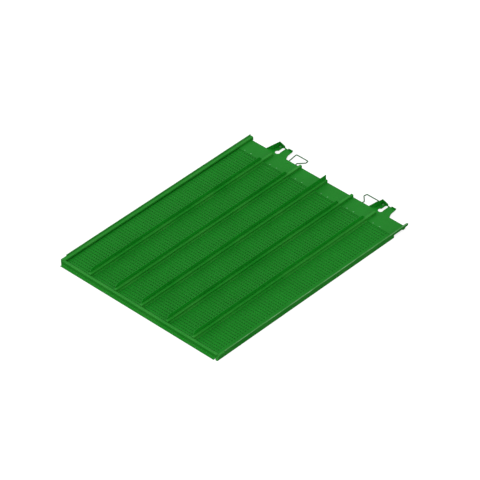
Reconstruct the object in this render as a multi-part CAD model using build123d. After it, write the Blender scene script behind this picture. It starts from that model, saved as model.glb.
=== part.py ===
from build123d import *
import os

# Grain sieve panel for the cleaning shoe of a harvester: six shallow channels of pressed
# screen sheet between upright dividers, in a folded sheet-steel frame, with two keyhole
# brackets and two swinging wire pull handles at the rear.
# Millimetres. +X is to the right, +Y to the rear, +Z up. The origin is at the middle of the
# overall length and width, on the surface that the frame stands on.

# ---- driving dimensions ----------------------------------------------------------------
CHANNELS = 6                  # screened channels side by side
CHANNEL_PITCH = 178.0         # from divider to divider
HALF_WIDTH = 547.0            # from the middle to the outer face of a side rail
PANEL_LENGTH = 1387.0         # from the front flange to the rear edge of the rear plate
BRACKET_REACH = 70.0          # the rear brackets stand this far behind the rear plate
HANDLE_REACH = 75.4           # and the pull handles this far

SHEET_TOP = 13.0              # top of the screen sheets above the floor
SHEET_T = 1.5                 # screen sheets, rear plate, dividers
RAIL_T = 2.0                  # folded rails
RIM = 13.0                    # ledges of the rails above the sheets
HAT_RIM = 15.0                # ledges of the dividers above the sheets
LIP = 19.0                    # hemmed lip of the side rails above the sheets
BLADE = 35.0                  # top of the divider blades above the sheets
BEND = 2.5                    # bend radius of the folded parts, at mid thickness

# ---- places worked out from them -------------------------------------------------------
OVERALL_LENGTH = PANEL_LENGTH + HANDLE_REACH
REAR_EDGE = OVERALL_LENGTH / 2 - HANDLE_REACH       # rear edge of the rear plate
FRONT_TIP = -OVERALL_LENGTH / 2                     # tip of the front flange
SHEET_BOTTOM = SHEET_TOP - SHEET_T
LEDGE_TOP = SHEET_TOP + RIM
HAT_TOP = SHEET_TOP + HAT_RIM
DIVIDER_X = [(k - CHANNELS / 2) * CHANNEL_PITCH for k in range(1, CHANNELS)]

# Side rails: the left ledge is the wider one.
LEFT_WALL = -524.0            # inner wall of the left rail, seen from the screens
RIGHT_WALL = 533.0            # inner wall of the right rail
LEFT_RAIL_FRONT = REAR_EDGE - 1364.0
RIGHT_RAIL_FRONT = REAR_EDGE - 1380.0               # lower corner; the end slopes back
RIGHT_RAIL_SLOPE = 16.0
LUG_BOTTOM = 4.5              # the inner walls' rear ends reach down past the plate's edge
RAIL_REAR = REAR_EDGE + 14.0
LIP_FRONT = REAR_EDGE - 1326.0
FOOT = 10.0                   # foot flange, turned outwards on the screen sheets' edges

# Front cross rail
FRONT_WEB = FRONT_TIP + 16.3  # front face of its upright web
FRONT_LEDGE = 16.0            # depth of its top ledge
FRONT_LIP_TOP = SHEET_TOP - 9.0
FLANGE_LEFT = -530.0          # ends of its lower flange
FLANGE_RIGHT = 528.0
WEB_LEFT = -538.0             # the web runs on in front of the left side rail
FRONT_WALL = FRONT_WEB + FRONT_LEDGE                # its rear wall, at the screens

# Rear plate
PLATE_FRONT = REAR_EDGE - 98.0
PLATE_RIVET_Y = REAR_EDGE - 89.0
PLATE_RIVET_X = (46.5, 91.4)  # from the left divider of each channel
PLATE_TOP = SHEET_TOP + SHEET_T                     # it lies on the screens' rear margins

# Dividers
HAT_HALF = 7.4                # half the width of a divider ledge
HAT_FOOT = 15.0               # half the width over its foot flanges
HAT_REAR = REAR_EDGE + 3.0
SHORT_HAT_REAR = REAR_EDGE - 24.0                   # of the two in line with the brackets
LONG_BLADE = (8.0, 39.0)      # rear end of the middle blade, behind the edge and above the sheets
BLADE_FRONT = REAR_EDGE - 1340.0
BLADE_REAR = REAR_EDGE - 96.0
BLADE_SLOPE = 16.0            # corner cut off each end of a blade
BLADE_LOW = 2.5               # lower edge of the blades above the sheets
BACKING_HALF = 15.0           # half the width of the backing strips under the dividers
STRIP_T = 4.0                 # thickness of the backing strips

# Cross bars under the panel
CROSS_BAR_Y = (-400.0, -20.0, 360.0)
CROSS_BAR_WIDTH = 40.0
CROSS_BAR_T = 1.5

# Rivets
SHANK_R = 1.6
HEAD_R = 3.6
SMALL_HEAD_R = 2.7
HEAD_H = 1.6
TAIL_R = 2.6
TAIL_H = 1.4
FOOT_RIVET_X = 12.0           # of the hat feet, from the divider's middle
FOOT_RIVET_PITCH = 190.0
BLADE_RIVET_PITCH = 240.0

# Rear brackets: offsets from the divider that each one continues
BRACKET_T = 2.5
KEYHOLE_X = 1.5               # middle of the round entry
SLOT_X = 5.0                  # middle line of the slot, a little to the right of the entry
KEYHOLE_R = 14.0
KEYHOLE_Y = 17.0              # behind the rear edge
SLOT_R = 8.5
SLOT_END_Y = 57.0
WALL_X = -30.0                # upright side wall of the bracket
WALL_START_Y = 22.5           # its front end, where the wing meets it
WALL_HEIGHT = (32.0, 24.0)    # at that end and at the rear
WING_FOOT = (-66.0, 2.5)      # low end of the wing
STOP_BOLT = (-16.0, 56.0)

# Pull handles
WIRE_R = 3.0
PIVOT_Y = REAR_EDGE - 8.0     # pivot line, under the rear edge of the rear plate
PIVOT_Z = SHEET_BOTTOM - 6.0  # the wire passes under the bracket tabs
PIVOT_CLEARANCE = 0.1
HANDLE_BEND = 6.0
HANDLE_FEET = {"left": (-263.7, 1), "right": (287.5, -1)}    # foot of the long leg, and its sense
CLIP_X = (13.0, 33.5)         # middle of the two clips, from that foot
CLIP_W = 10.0
CLIP_T = 1.5
CLIP_TAIL = 17.0              # flat part of a clip, ahead of the wire
CLIP_RIVET = 11.5             # its rivet, ahead of the wire


# ---- building blocks -------------------------------------------------------------------
def block(x0, x1, y0, y1, z0, z1):
    """Box between two corners."""
    middle = Pos((x0 + x1) / 2, (y0 + y1) / 2, (z0 + z1) / 2)
    return middle * Box(x1 - x0, y1 - y0, z1 - z0)


def upright(x, y, z0, z1, radius):
    """Round bar along Z."""
    return Pos(x, y, (z0 + z1) / 2) * Cylinder(radius, z1 - z0)


def fold_along_y(points, thickness, y0, y1, radius=BEND):
    """Folded sheet whose middle line (x, z) runs along Y."""
    section = Plane.XZ * trace(FilletPolyline(*points, radius=radius), line_width=thickness)
    return Pos(0, y1, 0) * extrude(section, amount=y1 - y0)


def fold_along_x(points, thickness, x0, x1, radius=BEND):
    """Folded sheet whose middle line (y, z) runs along X."""
    section = Plane.YZ * trace(FilletPolyline(*points, radius=radius), line_width=thickness)
    return Pos(x0, 0, 0) * extrude(section, amount=x1 - x0)


def plate(points, z0, z1):
    """Flat plate of any outline (x, y)."""
    return Pos(0, 0, z0) * extrude(make_face(Polyline(*points, close=True)), amount=z1 - z0)


def upright_plate(points, x0, x1):
    """Plate that stands in a YZ plane, with its outline given as (y, z)."""
    face = Plane.YZ * make_face(Polyline(*points, close=True))
    return Pos(x0, 0, 0) * extrude(face, amount=x1 - x0)


def even_steps(start, end, pitch):
    """Evenly spaced places from start to end, about one pitch apart."""
    count = max(1, round((end - start) / pitch))
    return [start + (end - start) * i / count for i in range(count + 1)]


def rivet(x, y, z_top, z_bottom, head_r=HEAD_R):
    """Rivet that clamps everything from z_bottom to z_top."""
    head = upright(x, y, z_top, z_top + HEAD_H, head_r)
    head = fillet(head.edges().sort_by(Axis.Z)[-1], HEAD_H * 0.8)
    shank = upright(x, y, z_bottom, z_top, SHANK_R)
    tail = upright(x, y, z_bottom - TAIL_H, z_bottom, TAIL_R)
    return head + shank + tail


def drill(shape, places, z0, z1, radius=SHANK_R):
    """Upright round holes at each (x, y)."""
    for x, y in places:
        shape = shape - upright(x, y, z0, z1, radius)
    return shape


def as_group(solids):
    """Separate solids that share one node."""
    return Compound(children=list(solids))


# ---- places of the fasteners -----------------------------------------------------------
def foot_rivet_places(x):
    """Rivets through the two feet of the divider at x."""
    ys = even_steps(FRONT_WALL + 22.0, PLATE_FRONT - 34.0, FOOT_RIVET_PITCH)
    return [(x + side * FOOT_RIVET_X, y) for side in (-1, 1) for y in ys]


def plate_rivet_places():
    """The pair of rivets at the front of the rear plate in each channel."""
    left_ends = [(k - CHANNELS / 2) * CHANNEL_PITCH for k in range(CHANNELS)]
    return [(x + dx, PLATE_RIVET_Y) for x in left_ends for dx in PLATE_RIVET_X]


def clip_rivet_places():
    """One rivet through the tail of each handle clip."""
    places = []
    for foot_x, sense in HANDLE_FEET.values():
        places += [(foot_x + sense * x, PIVOT_Y - CLIP_RIVET) for x in CLIP_X]
    return places


# ---- screens and rear plate ------------------------------------------------------------
def screen_sheet(k):
    """Screen of channel k, from the middle of one divider to the middle of the next."""
    gap = 0.5
    x0 = LEFT_WALL - FOOT if k == 0 else DIVIDER_X[k - 1] + gap
    x1 = RIGHT_WALL + FOOT if k == CHANNELS - 1 else DIVIDER_X[k] - gap
    sheet = block(x0, x1, FRONT_WALL - FOOT, REAR_EDGE, SHEET_BOTTOM, SHEET_TOP)
    rivets = plate_rivet_places() + clip_rivet_places()
    for x in DIVIDER_X:
        rivets += foot_rivet_places(x)
    return drill(sheet, [p for p in rivets if x0 < p[0] < x1], SHEET_BOTTOM, SHEET_TOP)


def rear_plate():
    """Plain plate over the rear margins of the screens, all the way across."""
    gap = 0.5
    x0, x1 = LEFT_WALL + gap, RIGHT_WALL - gap
    body = block(x0, x1, PLATE_FRONT, REAR_EDGE, SHEET_TOP, PLATE_TOP)
    return drill(body, plate_rivet_places() + clip_rivet_places(), SHEET_TOP, PLATE_TOP)


# ---- frame -----------------------------------------------------------------------------
def side_rail(side, wall_x, front):
    """Hat-shaped side rail: outer wall, hemmed lip, ledge, inner wall and foot flange."""
    outer = side * (HALF_WIDTH - RAIL_T / 2)
    inner = wall_x + side * RAIL_T / 2
    ledge_z = LEDGE_TOP - RAIL_T / 2
    foot_z = SHEET_TOP + RAIL_T / 2
    foot_x = wall_x + side * FOOT
    section = [(outer, 0), (outer, ledge_z), (inner, ledge_z), (inner, foot_z), (foot_x, foot_z)]
    rail = fold_along_y(section, RAIL_T, front, RAIL_REAR)
    lip_outer = side * HALF_WIDTH
    lip_inner = side * (HALF_WIDTH - 2 * RAIL_T)
    lip_low = LEDGE_TOP - RAIL_T
    lip = block(min(lip_outer, lip_inner), max(lip_outer, lip_inner),
                LIP_FRONT, RAIL_REAR, lip_low, SHEET_TOP + LIP)
    lip_tops = lip.edges().filter_by(Axis.Y).sort_by(Axis.Z)[-2:]
    rail = rail + fillet(lip_tops, RAIL_T * 0.8)
    lug_x = (wall_x, wall_x + side * RAIL_T)
    lug = block(min(lug_x), max(lug_x), REAR_EDGE + 0.5, RAIL_REAR, LUG_BOTTOM, LEDGE_TOP - BEND)
    return rail + lug - rail_end_cut(side)


def right_side_rail():
    """Right side rail, its front end cut on a slope and closed by a sloping plate."""
    front, slope, top = RIGHT_RAIL_FRONT, RIGHT_RAIL_SLOPE, LEDGE_TOP
    ahead = upright_plate([(front, 0), (front + slope, top), (front - 1, top + 1), (front - 1, 0)],
                          RIGHT_WALL - 1, HALF_WIDTH + 1)
    closing = [(front, 0), (front + slope, top - 1), (front + slope + RAIL_T, top - 1),
               (front + RAIL_T, 0)]
    end = upright_plate(closing, RIGHT_WALL, HALF_WIDTH - RAIL_T / 2)
    return side_rail(1, RIGHT_WALL, front) - ahead + (end - ahead)


def rail_end_cut(side):
    """Relief in the lower part of the outer wall at the rear, ahead of the round lug."""
    low = -1.0
    cut = upright_plate(
        [(REAR_EDGE - 93.0, low), (REAR_EDGE - 93.0, SHEET_TOP + 5.0),
         (REAR_EDGE - 44.0, SHEET_TOP + 9.0), (REAR_EDGE - 38.0, SHEET_TOP + 7.0),
         (RAIL_REAR + 1.0, SHEET_TOP + 7.0), (RAIL_REAR + 1.0, low)],
        -3.0, 3.0)
    lug = Pos(0, REAR_EDGE - 19.0, SHEET_TOP + 11.0) * Rot(0, 90, 0) * Cylinder(15.0, 10.0)
    return Pos(side * (HALF_WIDTH - RAIL_T / 2), 0, 0) * (cut - lug)


def front_rail():
    """Stepped front rail: foot on the screens, rear wall, ledge, web and lower flange."""
    t = RAIL_T
    ledge = [(FRONT_WALL - FOOT, SHEET_TOP + t / 2), (FRONT_WALL - t / 2, SHEET_TOP + t / 2),
             (FRONT_WALL - t / 2, LEDGE_TOP - t / 2), (FRONT_WEB + t / 2, LEDGE_TOP - t / 2),
             (FRONT_WEB + t / 2, FRONT_LIP_TOP - t / 2), (FRONT_TIP, FRONT_LIP_TOP - t / 2)]
    rail = fold_along_x(ledge, t, WEB_LEFT, RIGHT_WALL)
    beyond = HALF_WIDTH
    behind_web = FRONT_WEB + t + 2.0
    top = LEDGE_TOP + 1.0
    rail = rail - block(-beyond, LEFT_WALL, behind_web, FRONT_WALL + 1, 0, top)
    for x0, x1 in ((-beyond, FLANGE_LEFT), (FLANGE_RIGHT, beyond)):
        rail = rail - block(x0, x1, FRONT_TIP - 1, FRONT_WEB - 3.5, 0, FRONT_LIP_TOP + 1)
    return rail


# ---- dividers --------------------------------------------------------------------------
def divider_ledge(x, rear):
    """Hat section over the joint of two screens, its feet cut back to stand on the rear plate."""
    t = SHEET_T
    foot_z, top_z = SHEET_TOP + t / 2, HAT_TOP - t / 2
    wall = HAT_HALF - t / 2
    section = [(x - HAT_FOOT, foot_z), (x - wall, foot_z), (x - wall, top_z),
               (x + wall, top_z), (x + wall, foot_z), (x + HAT_FOOT, foot_z)]
    hat = fold_along_y(section, t, FRONT_WALL, rear, radius=1.5)
    hat = drill(hat, foot_rivet_places(x), SHEET_TOP, SHEET_TOP + t)
    over_plate = block(x - 20.0, x + 20.0, PLATE_FRONT, HAT_REAR, SHEET_TOP - 1, PLATE_TOP)
    return hat - over_plate - blade_rivet_holes(x)


def divider_blade(x, full_length):
    """Upright blade against the left wall of the ledge. The middle one runs to the rear edge."""
    z0, z1 = SHEET_TOP + BLADE_LOW, SHEET_TOP + BLADE
    cut = BLADE_SLOPE
    front = [(BLADE_FRONT, z0), (BLADE_FRONT, z1 - cut), (BLADE_FRONT + cut, z1)]
    if full_length:
        rear_y, height = REAR_EDGE + LONG_BLADE[0], LONG_BLADE[1]
        rear = [(rear_y, SHEET_TOP + height), (rear_y, z0)]
    else:
        rear = [(BLADE_REAR - cut, z1), (BLADE_REAR, z1 - cut), (BLADE_REAR, z0)]
    blade = upright_plate(front + rear, x - HAT_HALF - SHEET_T, x - HAT_HALF)
    return blade - blade_rivet_holes(x)


def blade_rivet_places():
    """Rivets through the blade and the left wall of the ledge, as (y, z)."""
    z = (SHEET_TOP + HAT_TOP) / 2 + 0.5
    return [(y, z) for y in even_steps(BLADE_FRONT + 40.0, BLADE_REAR - 40.0, BLADE_RIVET_PITCH)]


def blade_rivet_holes(x):
    """Drill for the cross rivets of the divider at x."""
    drills = [Pos(x - HAT_HALF, y, z) * Rot(0, 90, 0) * Cylinder(SHANK_R, 2.5 * SHEET_T)
              for y, z in blade_rivet_places()]
    return as_group(drills)


def blade_rivets(x):
    """Cross rivets of one divider: head on the blade, tail inside the ledge."""
    head_face = x - HAT_HALF - SHEET_T
    tail_face = x - HAT_HALF + SHEET_T
    lying = Rot(0, 90, 0)
    for y, z in blade_rivet_places():
        head = Pos(head_face - TAIL_H / 2, y, z) * lying * Cylinder(SMALL_HEAD_R, TAIL_H)
        shank = Pos((head_face + tail_face) / 2, y, z) * lying * Cylinder(SHANK_R, 2 * SHEET_T)
        tail = Pos(tail_face + TAIL_H / 2, y, z) * lying * Cylinder(TAIL_R, TAIL_H)
        yield head + shank + tail


def backing_strip(x):
    """Flat strip along the divider, under the edges of both screens."""
    z1, z0 = SHEET_BOTTOM, SHEET_BOTTOM - STRIP_T
    strip = block(x - BACKING_HALF, x + BACKING_HALF,
                  FRONT_WALL, PLATE_FRONT, z0, z1)
    return drill(strip, foot_rivet_places(x), z0, z1)


def cross_bar(y):
    """Shallow channel bar across the panel, open downwards, between the side rails."""
    top = SHEET_BOTTOM - STRIP_T
    half, t = CROSS_BAR_WIDTH / 2, CROSS_BAR_T
    section = [(y - half + t / 2, 0), (y - half + t / 2, top - t / 2),
               (y + half - t / 2, top - t / 2), (y + half - t / 2, 0)]
    reach = HALF_WIDTH - RAIL_T
    return fold_along_x(section, t, -reach, reach, radius=2.0)


# ---- rear brackets ---------------------------------------------------------------------
def rear_bracket(x):
    """Bracket under the rear plate: keyhole tab, upright side wall and two rear tabs."""
    z1 = SHEET_BOTTOM
    z0 = z1 - BRACKET_T
    end = REAR_EDGE + BRACKET_REACH
    foot_x, foot_y = x + WING_FOOT[0], REAR_EDGE + WING_FOOT[1]
    wall_y = REAR_EDGE + WALL_START_Y
    outline = [(foot_x, REAR_EDGE - 58.0), (x + 75.0, REAR_EDGE - 58.0),
               (x + 75.0, REAR_EDGE + 1.0), (x + 64.0, REAR_EDGE + 23.0),
               (x + 60.0, REAR_EDGE + 34.0), (x + 57.0, end), (x + WALL_X, end),
               (x + WALL_X, wall_y), (foot_x, foot_y)]
    tab = plate(outline, z0, z1)
    tab = tab - keyhole(x, z0, z1)
    t = BRACKET_T
    top = z1
    wall = upright_plate([(wall_y, top), (wall_y, top + WALL_HEIGHT[0]),
                          (end, top + WALL_HEIGHT[1]), (end, top)],
                         x + WALL_X, x + WALL_X + t)
    left_tab = rear_tab((x + WALL_X, x + WALL_X), (x + 8.0, x + 6.0), end, top, 24.0, 11.5)
    right_tab = rear_tab((x + 27.0, x + 31.0), (x + 57.0, x + 64.0), end, top, 9.0, 10.5)
    bolt_hole = upright(x + STOP_BOLT[0], REAR_EDGE + STOP_BOLT[1], z0, z1, 4.0)
    return tab + wall + side_wing(x, top) + left_tab + right_tab - bolt_hole


def keyhole(x, z0, z1):
    """Round entry at the front and a narrow slot to the rear."""
    cx = x + SLOT_X
    entry = upright(x + KEYHOLE_X, REAR_EDGE + KEYHOLE_Y, z0, z1, KEYHOLE_R)
    end = upright(cx, REAR_EDGE + SLOT_END_Y, z0, z1, SLOT_R)
    slot = block(cx - SLOT_R, cx + SLOT_R, REAR_EDGE + KEYHOLE_Y, REAR_EDGE + SLOT_END_Y, z0, z1)
    return entry + slot + end


def side_wing(x, z):
    """Wing that rises from the rear edge of the rear plate to the side wall."""
    run, rise = WALL_X - WING_FOOT[0], WALL_START_Y - WING_FOOT[1]
    length = (run ** 2 + rise ** 2) ** 0.5
    foot = (x + WING_FOOT[0], REAR_EDGE + WING_FOOT[1], z)
    overlap = BRACKET_T / 2
    outline = [(0, 0), (length + overlap, 0), (length + overlap, WALL_HEIGHT[0]),
               (length, WALL_HEIGHT[0])]
    along = Plane(origin=foot, x_dir=(run, rise, 0), z_dir=(rise, -run, 0))
    return extrude(along * make_face(Polyline(*outline, close=True)), amount=BRACKET_T)


def rear_tab(left, right, y1, z, height0, height1):
    """Upturned tab on the rear edge. Each side has its x at the foot and at the top."""
    outline = [(left[0], z), (right[0], z), (right[1], z + height1), (left[1], z + height0)]
    face = Plane.XZ * make_face(Polyline(*outline, close=True))
    return Pos(0, y1, 0) * extrude(face, amount=BRACKET_T)


def stop_bolts():
    """Hexagon bolt through each bracket beside its keyhole."""
    for x in (DIVIDER_X[0], DIVIDER_X[-1]):
        place = Pos(x + STOP_BOLT[0], REAR_EDGE + STOP_BOLT[1], SHEET_BOTTOM)
        head = extrude(RegularPolygon(6.5, 6), amount=5.3)
        shank = Pos(0, 0, -BRACKET_T) * extrude(Circle(4.0), amount=BRACKET_T)
        yield place * (head + shank)


def stop_nuts():
    """Nut under each bracket, on the stop bolt's thread."""
    for x in (DIVIDER_X[0], DIVIDER_X[-1]):
        place = Pos(x + STOP_BOLT[0], REAR_EDGE + STOP_BOLT[1], SHEET_BOTTOM - BRACKET_T)
        yield place * extrude(RegularPolygon(6.5, 6), amount=-6.0)


# ---- pull handles ----------------------------------------------------------------------
def pull_handle(foot_x, sense):
    """Bent round wire: pivot end, long leg, rear bar, slanted leg, pivot end."""
    rear = REAR_EDGE + HANDLE_REACH - WIRE_R
    points = [(19.5, PIVOT_Y), (0.0, PIVOT_Y), (-9.6, rear), (72.0, rear), (74.5, rear - 20.0),
              (42.5, rear - 53.0), (46.5, PIVOT_Y), (27.5, PIVOT_Y)]
    line = FilletPolyline(*[(foot_x + sense * x, y, PIVOT_Z) for x, y in points],
                          radius=HANDLE_BEND)
    start = Plane(origin=line @ 0, z_dir=line % 0)
    return sweep(start * Circle(WIRE_R), path=line)


def handle_clips(foot_x, sense):
    """Two clips: a strap folded round the wire, its doubled tail flat under the rear plate."""
    eye_r = WIRE_R + PIVOT_CLEARANCE
    tail_h = SHEET_BOTTOM - PIVOT_Z - eye_r
    tail = Pos(-CLIP_TAIL / 2, eye_r + tail_h / 2) * Rectangle(CLIP_TAIL, tail_h)
    section = Circle(eye_r + CLIP_T) + tail - Circle(eye_r)
    for x in CLIP_X:
        clip = extrude(Plane.YZ * section, amount=CLIP_W / 2, both=True)
        clip = Pos(foot_x + sense * x, PIVOT_Y, PIVOT_Z) * clip
        rivet_at = [(foot_x + sense * x, PIVOT_Y - CLIP_RIVET)]
        yield drill(clip, rivet_at, PIVOT_Z, SHEET_BOTTOM)


# ---- the parts -------------------------------------------------------------------------
def make_parts():
    parts = {}
    for k in range(CHANNELS):
        parts[f"screen_sheet_{k + 1}"] = screen_sheet(k)
    parts["rear_plate"] = rear_plate()
    parts["left_side_rail"] = side_rail(-1, LEFT_WALL, LEFT_RAIL_FRONT)
    parts["right_side_rail"] = right_side_rail()
    parts["front_rail"] = front_rail()
    for k, x in enumerate(DIVIDER_X, start=1):
        middle = k == CHANNELS // 2
        outermost = k in (1, CHANNELS - 1)
        parts[f"divider_ledge_{k}"] = divider_ledge(x, SHORT_HAT_REAR if outermost else HAT_REAR)
        parts[f"divider_blade_{k}"] = divider_blade(x, middle)
        parts[f"backing_strip_{k}"] = backing_strip(x)
    for k, y in enumerate(CROSS_BAR_Y, start=1):
        parts[f"cross_bar_{k}"] = cross_bar(y)
    parts["left_rear_bracket"] = rear_bracket(DIVIDER_X[0])
    parts["right_rear_bracket"] = rear_bracket(DIVIDER_X[-1])
    parts["stop_bolts"] = as_group(stop_bolts())
    parts["stop_nuts"] = as_group(stop_nuts())
    for name, (foot_x, sense) in HANDLE_FEET.items():
        parts[f"{name}_pull_handle"] = pull_handle(foot_x, sense)
        parts[f"{name}_handle_clips"] = as_group(handle_clips(foot_x, sense))
    under = SHEET_BOTTOM - STRIP_T
    clip_under = PIVOT_Z + WIRE_R + PIVOT_CLEARANCE
    parts["rear_plate_rivets"] = as_group(
        rivet(x, y, PLATE_TOP, SHEET_BOTTOM) for x, y in plate_rivet_places())
    parts["clip_rivets"] = as_group(
        rivet(x, y, PLATE_TOP, clip_under) for x, y in clip_rivet_places())
    parts["divider_foot_rivets"] = as_group(
        rivet(x, y, SHEET_TOP + SHEET_T, under, SMALL_HEAD_R)
        for d in DIVIDER_X for x, y in foot_rivet_places(d))
    parts["blade_rivets"] = as_group(r for x in DIVIDER_X for r in blade_rivets(x))
    return parts


os.makedirs("parts", exist_ok=True)
for name, shape in make_parts().items():
    export_step(shape, f"parts/{name}.step")
    print(name)
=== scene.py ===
import math

import bmesh
import bpy
from mathutils import Matrix, Vector


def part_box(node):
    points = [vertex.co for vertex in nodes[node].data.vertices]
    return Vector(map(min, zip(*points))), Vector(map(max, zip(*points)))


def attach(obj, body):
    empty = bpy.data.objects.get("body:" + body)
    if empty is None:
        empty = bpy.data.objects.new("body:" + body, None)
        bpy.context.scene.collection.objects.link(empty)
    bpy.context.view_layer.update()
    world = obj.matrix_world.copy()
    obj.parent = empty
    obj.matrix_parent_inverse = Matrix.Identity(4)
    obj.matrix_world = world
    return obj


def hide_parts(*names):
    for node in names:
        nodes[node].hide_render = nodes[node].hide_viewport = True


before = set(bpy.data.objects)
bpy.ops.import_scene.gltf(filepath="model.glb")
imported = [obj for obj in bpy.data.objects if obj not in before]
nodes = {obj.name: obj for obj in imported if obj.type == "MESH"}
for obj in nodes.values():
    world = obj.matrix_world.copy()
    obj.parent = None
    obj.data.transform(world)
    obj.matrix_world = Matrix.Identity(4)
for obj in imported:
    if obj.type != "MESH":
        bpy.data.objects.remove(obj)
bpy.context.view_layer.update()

MM = 0.001

# ---- Side rails and front rail ---------------------------------------------------------
# Folded 2 mm sheet steel: two hat-shaped side rails with a hemmed lip, and a stepped rail
# across the front. They are spot welded at the corners and dipped in green semi-gloss paint.
LEAF_GREEN = (0.0032, 0.206, 0.0085)
DEEP_GREEN = (0.0022, 0.184, 0.0065)
PALE_GREEN = (0.0200, 0.235, 0.0200)
WEAR_AND_HIGHLIGHT_GREEN = (0.075, 0.30, 0.085)
LIP_HIGHLIGHT_GREEN = (0.15, 0.34, 0.15)
# Height of the rails' lip crown, above which they carry a painted highlight.
LIP_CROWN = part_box("right_side_rail")[1].z - 1.9 * MM


class Finish:
    """A surface finish that is put together node by node."""

    def __init__(self, name, roughness, metallic=0.0, specular=0.5):
        self.material = bpy.data.materials.new(name)
        self.material.use_nodes = True
        self.tree = self.material.node_tree
        self.shader = self.tree.nodes["Principled BSDF"]
        self.shader.inputs["Roughness"].default_value = roughness
        self.shader.inputs["Metallic"].default_value = metallic
        self.shader.inputs["Specular IOR Level"].default_value = specular
        self.place = self.add("ShaderNodeTexCoord").outputs["Object"]

    def add(self, kind, **settings):
        node = self.tree.nodes.new(kind)
        for key, value in settings.items():
            setattr(node, key, value)
        return node

    def join(self, output, socket):
        self.tree.links.new(output, socket)

    def noise(self, grains_per_metre, detail=3.0, stretch=(1.0, 1.0, 1.0)):
        """Cloudy noise, stretched along an axis by a stretch below 1."""
        mapping = self.add("ShaderNodeMapping")
        mapping.inputs["Scale"].default_value = stretch
        self.join(self.place, mapping.inputs["Vector"])
        node = self.add("ShaderNodeTexNoise")
        node.inputs["Scale"].default_value = grains_per_metre
        node.inputs["Detail"].default_value = detail
        self.join(mapping.outputs["Vector"], node.inputs["Vector"])
        return node.outputs["Fac"]

    def between(self, fac, low, high, start=0.3, end=0.7):
        """Rescales a factor from start..end to low..high."""
        node = self.add("ShaderNodeMapRange")
        node.inputs["From Min"].default_value = start
        node.inputs["From Max"].default_value = end
        node.inputs["To Min"].default_value = low
        node.inputs["To Max"].default_value = high
        self.join(fac, node.inputs["Value"])
        return node.outputs["Result"]

    def blended(self, fac, first, second):
        """Mixes two colours, each a tuple or the output of another node."""
        node = self.add("ShaderNodeMix", data_type="RGBA")
        self.join(fac, node.inputs["Factor"])
        for socket, colour in ((node.inputs["A"], first), (node.inputs["B"], second)):
            if isinstance(colour, tuple):
                socket.default_value = (*colour, 1.0)
            else:
                self.join(colour, socket)
        return node.outputs["Result"]

    def product(self, a, b):
        node = self.add("ShaderNodeMath", operation="MULTIPLY")
        self.join(a, node.inputs[0])
        self.join(b, node.inputs[1])
        return node.outputs["Value"]

    def colour(self, output):
        self.join(output, self.shader.inputs["Base Color"])

    def roughness(self, output):
        self.join(output, self.shader.inputs["Roughness"])

    def rounded_edges(self, radius):
        """Normal of the surface with its sharp edges rounded off."""
        node = self.add("ShaderNodeBevel", samples=4)
        node.inputs["Radius"].default_value = radius
        return node.outputs["Normal"]

    def edge_mask(self, rounded):
        """1 on sharp edges and 0 on flat faces."""
        flat = self.add("ShaderNodeNewGeometry").outputs["Normal"]
        node = self.add("ShaderNodeVectorMath", operation="DOT_PRODUCT")
        self.join(rounded, node.inputs[0])
        self.join(flat, node.inputs[1])
        return self.between(node.outputs["Value"], 1.0, 0.0, 0.72, 0.985)

    def painted_shade_mask(self, reach, deepest):
        """Mask for painted shade: 1 deep in corners and holes and 0 in the open."""
        node = self.add("ShaderNodeAmbientOcclusion", samples=4)
        node.inputs["Distance"].default_value = reach
        return self.between(node.outputs["AO"], 1.0, 0.0, deepest, 0.85)

    def bumps(self, *heights, rounded=None):
        """Stacks bumps, each a height output with its depth in metres."""
        normal = rounded
        for height, depth in heights:
            node = self.add("ShaderNodeBump")
            node.inputs["Strength"].default_value = 1.0
            node.inputs["Distance"].default_value = depth
            self.join(height, node.inputs["Height"])
            if normal is not None:
                self.join(normal, node.inputs["Normal"])
            normal = node.outputs["Normal"]
        self.join(normal, self.shader.inputs["Normal"])


def green_paint(name, light, dark, shade_reach, shade_tone, wear_and_highlight=0.4, shade_darkness=0.32,
                deepest=0.15, specular=0.24, highlight_above=None):
    """Dipped paint: faint clouds, orange peel, slow waves, thin lighter edges that are partly
    worn paint and partly a painted highlight, and painted shade in corners and holes. Above a
    height given as an argument it carries a painted highlight in lighter streaks."""
    finish = Finish(name, roughness=0.46, specular=specular)
    clouds = finish.between(finish.noise(7.0, 4.0), 0.0, 1.0)
    tone = finish.blended(clouds, light, dark)
    rounded = finish.rounded_edges(0.7 * MM)
    # Lighter green along sharp edges: partly worn paint, partly a painted highlight.
    patchy = finish.between(finish.noise(55.0, 5.0), 0.0, wear_and_highlight, 0.42, 0.66)
    wear_and_highlight_mask = finish.product(finish.edge_mask(rounded), patchy)
    tone = finish.blended(wear_and_highlight_mask, tone, WEAR_AND_HIGHLIGHT_GREEN)
    # Painted highlight: lighter streaks on everything above the given height.
    if highlight_above is not None:
        split = finish.add("ShaderNodeSeparateXYZ")
        finish.join(finish.place, split.inputs["Vector"])
        high = finish.between(split.outputs["Z"], 0.0, 1.0, highlight_above, highlight_above + 0.8 * MM)
        streaks = finish.between(finish.noise(12.0, 4.0), 0.25, 1.0, 0.4, 0.6)
        tone = finish.blended(finish.product(high, streaks), tone, LIP_HIGHLIGHT_GREEN)
    # Painted shade: corners, creases and holes are darkened towards a dark copy of the paint.
    painted_shade = finish.painted_shade_mask(shade_reach, deepest)
    shadowed = finish.between(painted_shade, 0.0, shade_tone, 0.0, 1.0)
    painted_shade_colour = tuple(shade_darkness * c for c in dark)
    finish.colour(finish.blended(shadowed, tone, painted_shade_colour))
    finish.roughness(finish.between(finish.noise(38.0, 3.0), 0.40, 0.54))
    finish.bumps((finish.noise(420.0, 2.0), 0.05 * MM), (finish.noise(24.0, 2.0), 0.16 * MM),
                 rounded=rounded)
    return finish.material


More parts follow.
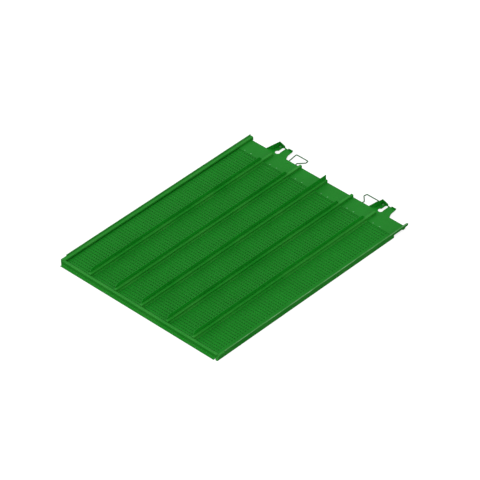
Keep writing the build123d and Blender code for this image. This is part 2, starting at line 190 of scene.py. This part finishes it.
def give(material, *names):
    """Puts a finish on CAD nodes."""
    for name in names:
        for material_slot in nodes[name].material_slots:
            material_slot.material = material


# The rails carry a painted highlight along the lip crown, and more lighter edges, partly wear and
# partly painted highlight.
rail_paint = green_paint("rail_paint", PALE_GREEN, LEAF_GREEN, 9 * MM, 0.15, wear_and_highlight=1.0,
                         highlight_above=LIP_CROWN)
give(rail_paint, "left_side_rail", "right_side_rail", "front_rail")


# ---- Screens ---------------------------------------------------------------------------
# Six sheets of 1.5 mm steel, one for each channel. Every hole is cut along its front edge and
# its tongue is pressed down into a scoop that opens to the front, so grain drops through it.
ROW_PITCH = 19.05 * MM
COLUMN_PITCH = 14.29 * MM
ROWS = 66
COLUMNS = 10
FIRST_ROW = 10.7 * MM         # from the front rail's wall to the middle of the first row
FIRST_COLUMN = 20.0 * MM      # from the divider's middle to the first column
CHANNEL = 178.0 * MM
CHANNELS = 6
SCOOP_HALF_WIDTH = 5.1 * MM
SCOOP_LENGTH = 11.0 * MM
SCOOP_DEPTH = 4.0 * MM
SCOOP_CUT = -5.0 * MM         # place of the cut, from the middle of the hole's pitch
CUT_STEPS = 8
DEPTH_STEPS = 4
SHEET_STEEL = 1.5 * MM
MERGE_WITHIN = 0.02 * MM      # joins the points that neighbouring tiles share
DROP_UNDER = 0.01 * MM        # drops slivers shorter than this
SHARP_FROM = 50               # degrees between faces from which an edge stays sharp


def scoop_depth(across, along):
    """Depth of the pressed scoop. Both arguments run from 0 in its middle to 1 at its rim."""
    inside = max(0.0, 1.0 - across * across - along * along)
    return -SCOOP_DEPTH * inside ** 0.75


def scoop_tile():
    """One pitch of pressed sheet: the flat part round the hole, and the scoop."""
    points, faces = [], []

    def point(x, y, z=0.0):
        points.append((x, y, z))
        return len(points) - 1

    half_x, half_y = COLUMN_PITCH / 2, ROW_PITCH / 2
    middle = CUT_STEPS // 2
    across = [-math.cos(math.pi * i / CUT_STEPS) for i in range(CUT_STEPS + 1)]
    cut = [point(SCOOP_HALF_WIDTH * a, SCOOP_CUT) for a in across]
    widths = [math.sqrt(max(0.0, 1.0 - a * a)) for a in across]
    rim = [point(SCOOP_HALF_WIDTH * a, SCOOP_CUT + SCOOP_LENGTH * w)
           for a, w in zip(across, widths)]
    for end_y, inner in ((-half_y, cut), (half_y, rim)):
        beside = (SCOOP_CUT + end_y) / 2
        outer = [(-half_x, SCOOP_CUT), (-half_x, beside)]
        outer += [(half_x * (i - middle) / (middle - 2), end_y) for i in range(2, CUT_STEPS - 1)]
        outer += [(half_x, beside), (half_x, SCOOP_CUT)]
        outer = [point(*p) for p in outer]
        for i in range(CUT_STEPS):
            quad = (outer[i], outer[i + 1], inner[i + 1], inner[i])
            faces.append(quad if inner is cut else quad[::-1])
    rows = []
    for j in range(DEPTH_STEPS):
        along = math.sin(math.pi / 2 * j / DEPTH_STEPS)
        row = []
        for a, w in zip(across, widths):
            z = scoop_depth(a, along * w)
            row.append(point(SCOOP_HALF_WIDTH * a, SCOOP_CUT + SCOOP_LENGTH * along * w, z))
        rows.append(row)
    rows.append(rim)
    for near, far in zip(rows, rows[1:]):
        for i in range(CUT_STEPS):
            faces.append((near[i], near[i + 1], far[i + 1], far[i]))
    return points, faces


def widen(bm, axis, limit, target):
    """Carries the outermost edges of the sheet on to its true edge."""
    rim = [e for e in bm.edges
           if e.is_boundary and all(abs(v.co[axis] - limit) < DROP_UNDER for v in e.verts)]
    new = bmesh.ops.extrude_edge_only(bm, edges=rim)["geom"]
    for vert in (g for g in new if isinstance(g, bmesh.types.BMVert)):
        vert.co[axis] = target


def pressed_screen(number, first_column):
    """Screen sheet of one channel, with all its scoops."""
    low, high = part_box(f"screen_sheet_{number}")
    first_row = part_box("front_rail")[1].y + FIRST_ROW
    tile_points, tile_faces = scoop_tile()
    points, faces = [], []
    for row in range(ROWS):
        for column in range(COLUMNS):
            start = len(points)
            x = first_column + column * COLUMN_PITCH
            y = first_row + row * ROW_PITCH
            points += [(x + p[0], y + p[1], high.z + p[2]) for p in tile_points]
            faces += [tuple(start + i for i in face) for face in tile_faces]
    mesh = bpy.data.meshes.new(f"pressed_screen_{number}")
    mesh.from_pydata(points, [], faces)
    bm = bmesh.new()
    bm.from_mesh(mesh)
    bmesh.ops.remove_doubles(bm, verts=bm.verts, dist=MERGE_WITHIN)
    bmesh.ops.dissolve_degenerate(bm, edges=bm.edges, dist=DROP_UNDER)
    widen(bm, 0, first_column - COLUMN_PITCH / 2, low.x)
    widen(bm, 0, first_column + (COLUMNS - 0.5) * COLUMN_PITCH, high.x)
    widen(bm, 1, first_row - ROW_PITCH / 2, low.y)
    widen(bm, 1, first_row + (ROWS - 0.5) * ROW_PITCH, high.y)
    bmesh.ops.recalc_face_normals(bm, faces=bm.faces)
    if sum(face.normal.z for face in bm.faces) < 0:
        bmesh.ops.reverse_faces(bm, faces=bm.faces)
    bm.to_mesh(mesh)
    bm.free()
    sheet = bpy.data.objects.new(f"pressed_screen_{number}", mesh)
    bpy.context.scene.collection.objects.link(sheet)
    gauge = sheet.modifiers.new("gauge", "SOLIDIFY")
    gauge.thickness = SHEET_STEEL
    gauge.offset = -1.0
    solid = bpy.data.meshes.new_from_object(
        sheet.evaluated_get(bpy.context.evaluated_depsgraph_get()))
    sheet.modifiers.clear()
    sheet.data = solid
    solid.shade_smooth()
    solid.set_sharp_from_angle(angle=math.radians(SHARP_FROM))
    return sheet


# The screens get deep painted shade inside their scoops, nearly black at the bottom.
screen_paint = green_paint("screen_paint", LEAF_GREEN, DEEP_GREEN, 9 * MM, 1.0, shade_darkness=0.04,
                           deepest=0.32, specular=0.15)
for number in range(1, CHANNELS + 1):
    column = (number - 1 - CHANNELS / 2) * CHANNEL + FIRST_COLUMN
    screen = pressed_screen(number, column)
    screen.data.materials.append(screen_paint)
    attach(screen, "panel")
    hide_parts(f"screen_sheet_{number}")

# ---- Rear plate ------------------------------------------------------------------------
# One plain 1.5 mm plate over the rear margins of the screens, riveted along its front edge.
# Smooth semi-gloss paint, with the faint waves of thin flat sheet.
plate_paint = green_paint("plate_paint", LEAF_GREEN, DEEP_GREEN, 9 * MM, 0.3)
give(plate_paint, "rear_plate")

# ---- Dividers --------------------------------------------------------------------------
# A hat-shaped ledge of 1.5 mm steel over the joint of two screens, and an upright blade
# riveted against its left wall. Brake-pressed, so they are smooth along their length.
# The blades get a lighter green: painted light that brightens their shaded right faces.
BLADE_PAINTED_LIGHT_GREEN = (0.0040, 0.255, 0.0110)
divider_paint = green_paint("divider_paint", BLADE_PAINTED_LIGHT_GREEN, LEAF_GREEN, 6 * MM, 0.2)
# The ledges get the paler green and more lighter edges: a painted highlight along their tops.
ledge_paint = green_paint("ledge_paint", PALE_GREEN, LEAF_GREEN, 6 * MM, 0.2, wear_and_highlight=0.8)
for number in range(1, CHANNELS):
    give(ledge_paint, f"divider_ledge_{number}")
    give(divider_paint, f"divider_blade_{number}")

# ---- Backing strips and cross bars -----------------------------------------------------
# Flat steel strips that the screens' edges and the divider feet are riveted to, and three folded
# bars across them, welded between the side rails. All under the screens, in the deep green with
# stronger painted shade in their corners.
CROSS_BARS = 3
under_paint = green_paint("under_paint", DEEP_GREEN, DEEP_GREEN, 12 * MM, 0.5)
give(under_paint, *[f"backing_strip_{k}" for k in range(1, CHANNELS)])
give(under_paint, *[f"cross_bar_{k}" for k in range(1, CROSS_BARS + 1)])

# ---- Rear brackets ---------------------------------------------------------------------
# Two pressed 2.5 mm brackets with a keyhole and an upright side wall, welded under the rear
# plate. The same paint, with more of its lighter edges: partly rubbed by handling, partly a
# painted highlight.
bracket_paint = green_paint("bracket_paint", LEAF_GREEN, DEEP_GREEN, 9 * MM, 0.4, wear_and_highlight=0.8)
give(bracket_paint, "left_rear_bracket", "right_rear_bracket")

# ---- Pull handles and their clips ------------------------------------------------------
# Handles of bent 6 mm wire that swing in folded strap clips under the rear plate.
# Drawn wire, with thin paint that has turned grey-green from hands.
WIRE_GREEN = (0.022, 0.135, 0.034)
WIRE_GREY = (0.045, 0.165, 0.056)


def wire_paint():
    finish = Finish("wire_paint", roughness=0.4, specular=0.5)
    rubbed = finish.between(finish.noise(90.0, 4.0), 0.0, 1.0, 0.35, 0.65)
    finish.colour(finish.blended(rubbed, WIRE_GREEN, WIRE_GREY))
    finish.roughness(finish.between(finish.noise(140.0), 0.34, 0.5))
    drawn = finish.noise(700.0, 2.0, stretch=(1.0, 0.08, 1.0))
    finish.bumps((drawn, 0.04 * MM))
    return finish.material


give(wire_paint(), "left_pull_handle", "right_pull_handle")
give(bracket_paint, "left_handle_clips", "right_handle_clips")

# ---- Fasteners -------------------------------------------------------------------------
# Zinc-plated rivets at the rear plate and stop bolts in the brackets, with a thin mist of green
# over the zinc. The rivets of the dividers and the clips are painted with the rest.
ZINC_LIGHT = (0.20, 0.58, 0.23)
ZINC_DULL = (0.11, 0.40, 0.13)


def zinc_plate():
    finish = Finish("zinc_plate", roughness=0.45, metallic=0.85)
    spangle = finish.between(finish.noise(260.0, 2.0), 0.0, 1.0, 0.4, 0.6)
    finish.colour(finish.blended(spangle, ZINC_LIGHT, ZINC_DULL))
    finish.roughness(finish.between(finish.noise(500.0), 0.36, 0.56))
    finish.bumps((finish.noise(900.0, 2.0), 0.03 * MM), rounded=finish.rounded_edges(0.4 * MM))
    return finish.material


give(zinc_plate(), "rear_plate_rivets", "stop_bolts", "stop_nuts")
give(divider_paint, "divider_foot_rivets", "blade_rivets", "clip_rivets")


# ---- Floor, light and camera -----------------------------------------------------------
# A plain white floor lit so brightly that shadows hardly show, and a surround brighter above
# than below. A broad key light from the front, a low one from the left whose shadows lie beside
# the dividers, and a weaker fill from the right.
FLOOR_REACH = 60.0


def studio_floor():
    reach = FLOOR_REACH
    mesh = bpy.data.meshes.new("floor")
    corners = [(-reach, -reach, 0), (reach, -reach, 0), (reach, reach, 0), (-reach, reach, 0)]
    mesh.from_pydata(corners, [], [(0, 1, 2, 3)])
    floor = bpy.data.objects.new("floor", mesh)
    bpy.context.scene.collection.objects.link(floor)
    finish = Finish("floor_white", roughness=0.9, specular=0.0)
    shade = finish.between(finish.noise(0.8, 2.0), 0.0, 1.0)
    finish.colour(finish.blended(shade, (0.30, 0.30, 0.30), (0.32, 0.32, 0.32)))
    finish.shader.inputs["Emission Color"].default_value = (1.0, 1.0, 1.0, 1.0)
    finish.shader.inputs["Emission Strength"].default_value = 0.82
    mesh.materials.append(finish.material)
    floor.visible_diffuse = False
    floor.visible_glossy = False


def surround(above, below):
    """White surround, brighter above the horizon than below it."""
    world = bpy.data.worlds.new("surround")
    bpy.context.scene.world = world
    world.use_nodes = True
    tree = world.node_tree
    place = tree.nodes.new("ShaderNodeTexCoord")
    split = tree.nodes.new("ShaderNodeSeparateXYZ")
    tree.links.new(place.outputs["Generated"], split.inputs["Vector"])
    level = tree.nodes.new("ShaderNodeMapRange")
    level.inputs["From Min"].default_value = -0.25
    level.inputs["From Max"].default_value = 0.25
    level.inputs["To Min"].default_value = below
    level.inputs["To Max"].default_value = above
    tree.links.new(split.outputs["Z"], level.inputs["Value"])
    background = tree.nodes["Background"]
    background.inputs["Color"].default_value = (1.0, 1.0, 1.0, 1.0)
    tree.links.new(level.outputs["Result"], background.inputs["Strength"])


def soft_lamp(name, to_light, energy, angle):
    lamp = bpy.data.lights.new(name, "SUN")
    lamp.energy = energy
    lamp.angle = math.radians(angle)
    light = bpy.data.objects.new(name, lamp)
    light.rotation_mode = "QUATERNION"
    light.rotation_quaternion = Vector(to_light).to_track_quat("Z", "Y")
    bpy.context.scene.collection.objects.link(light)


studio_floor()
surround(above=0.62, below=0.10)
soft_lamp("key_light", (0.05, -0.57, 0.80), energy=1.22, angle=30)
soft_lamp("low_light", (-0.85, -0.20, 0.45), energy=0.85, angle=30)
soft_lamp("fill_light", (0.95, -0.25, 0.22), energy=0.8, angle=40)

CAMERA_PLACE = Vector((10.4294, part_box("rear_plate")[1].y - 11.4414, 12.1783))
CAMERA_RIGHT = Vector((0.72666, 0.68687, -0.01318))
CAMERA_UP = Vector((-0.42501, 0.46455, 0.77689))
camera_data = bpy.data.cameras.new("camera")
camera_data.lens = 288.7
camera_data.sensor_width = 36.0
camera_data.clip_end = 200.0
camera = bpy.data.objects.new("camera", camera_data)
camera_back = CAMERA_RIGHT.cross(CAMERA_UP)
turn = Matrix((CAMERA_RIGHT, CAMERA_UP, camera_back)).transposed()
camera.matrix_world = Matrix.Translation(CAMERA_PLACE) @ turn.to_4x4()
bpy.context.scene.collection.objects.link(camera)
bpy.context.scene.camera = camera
bpy.context.scene.view_settings.view_transform = "Standard"
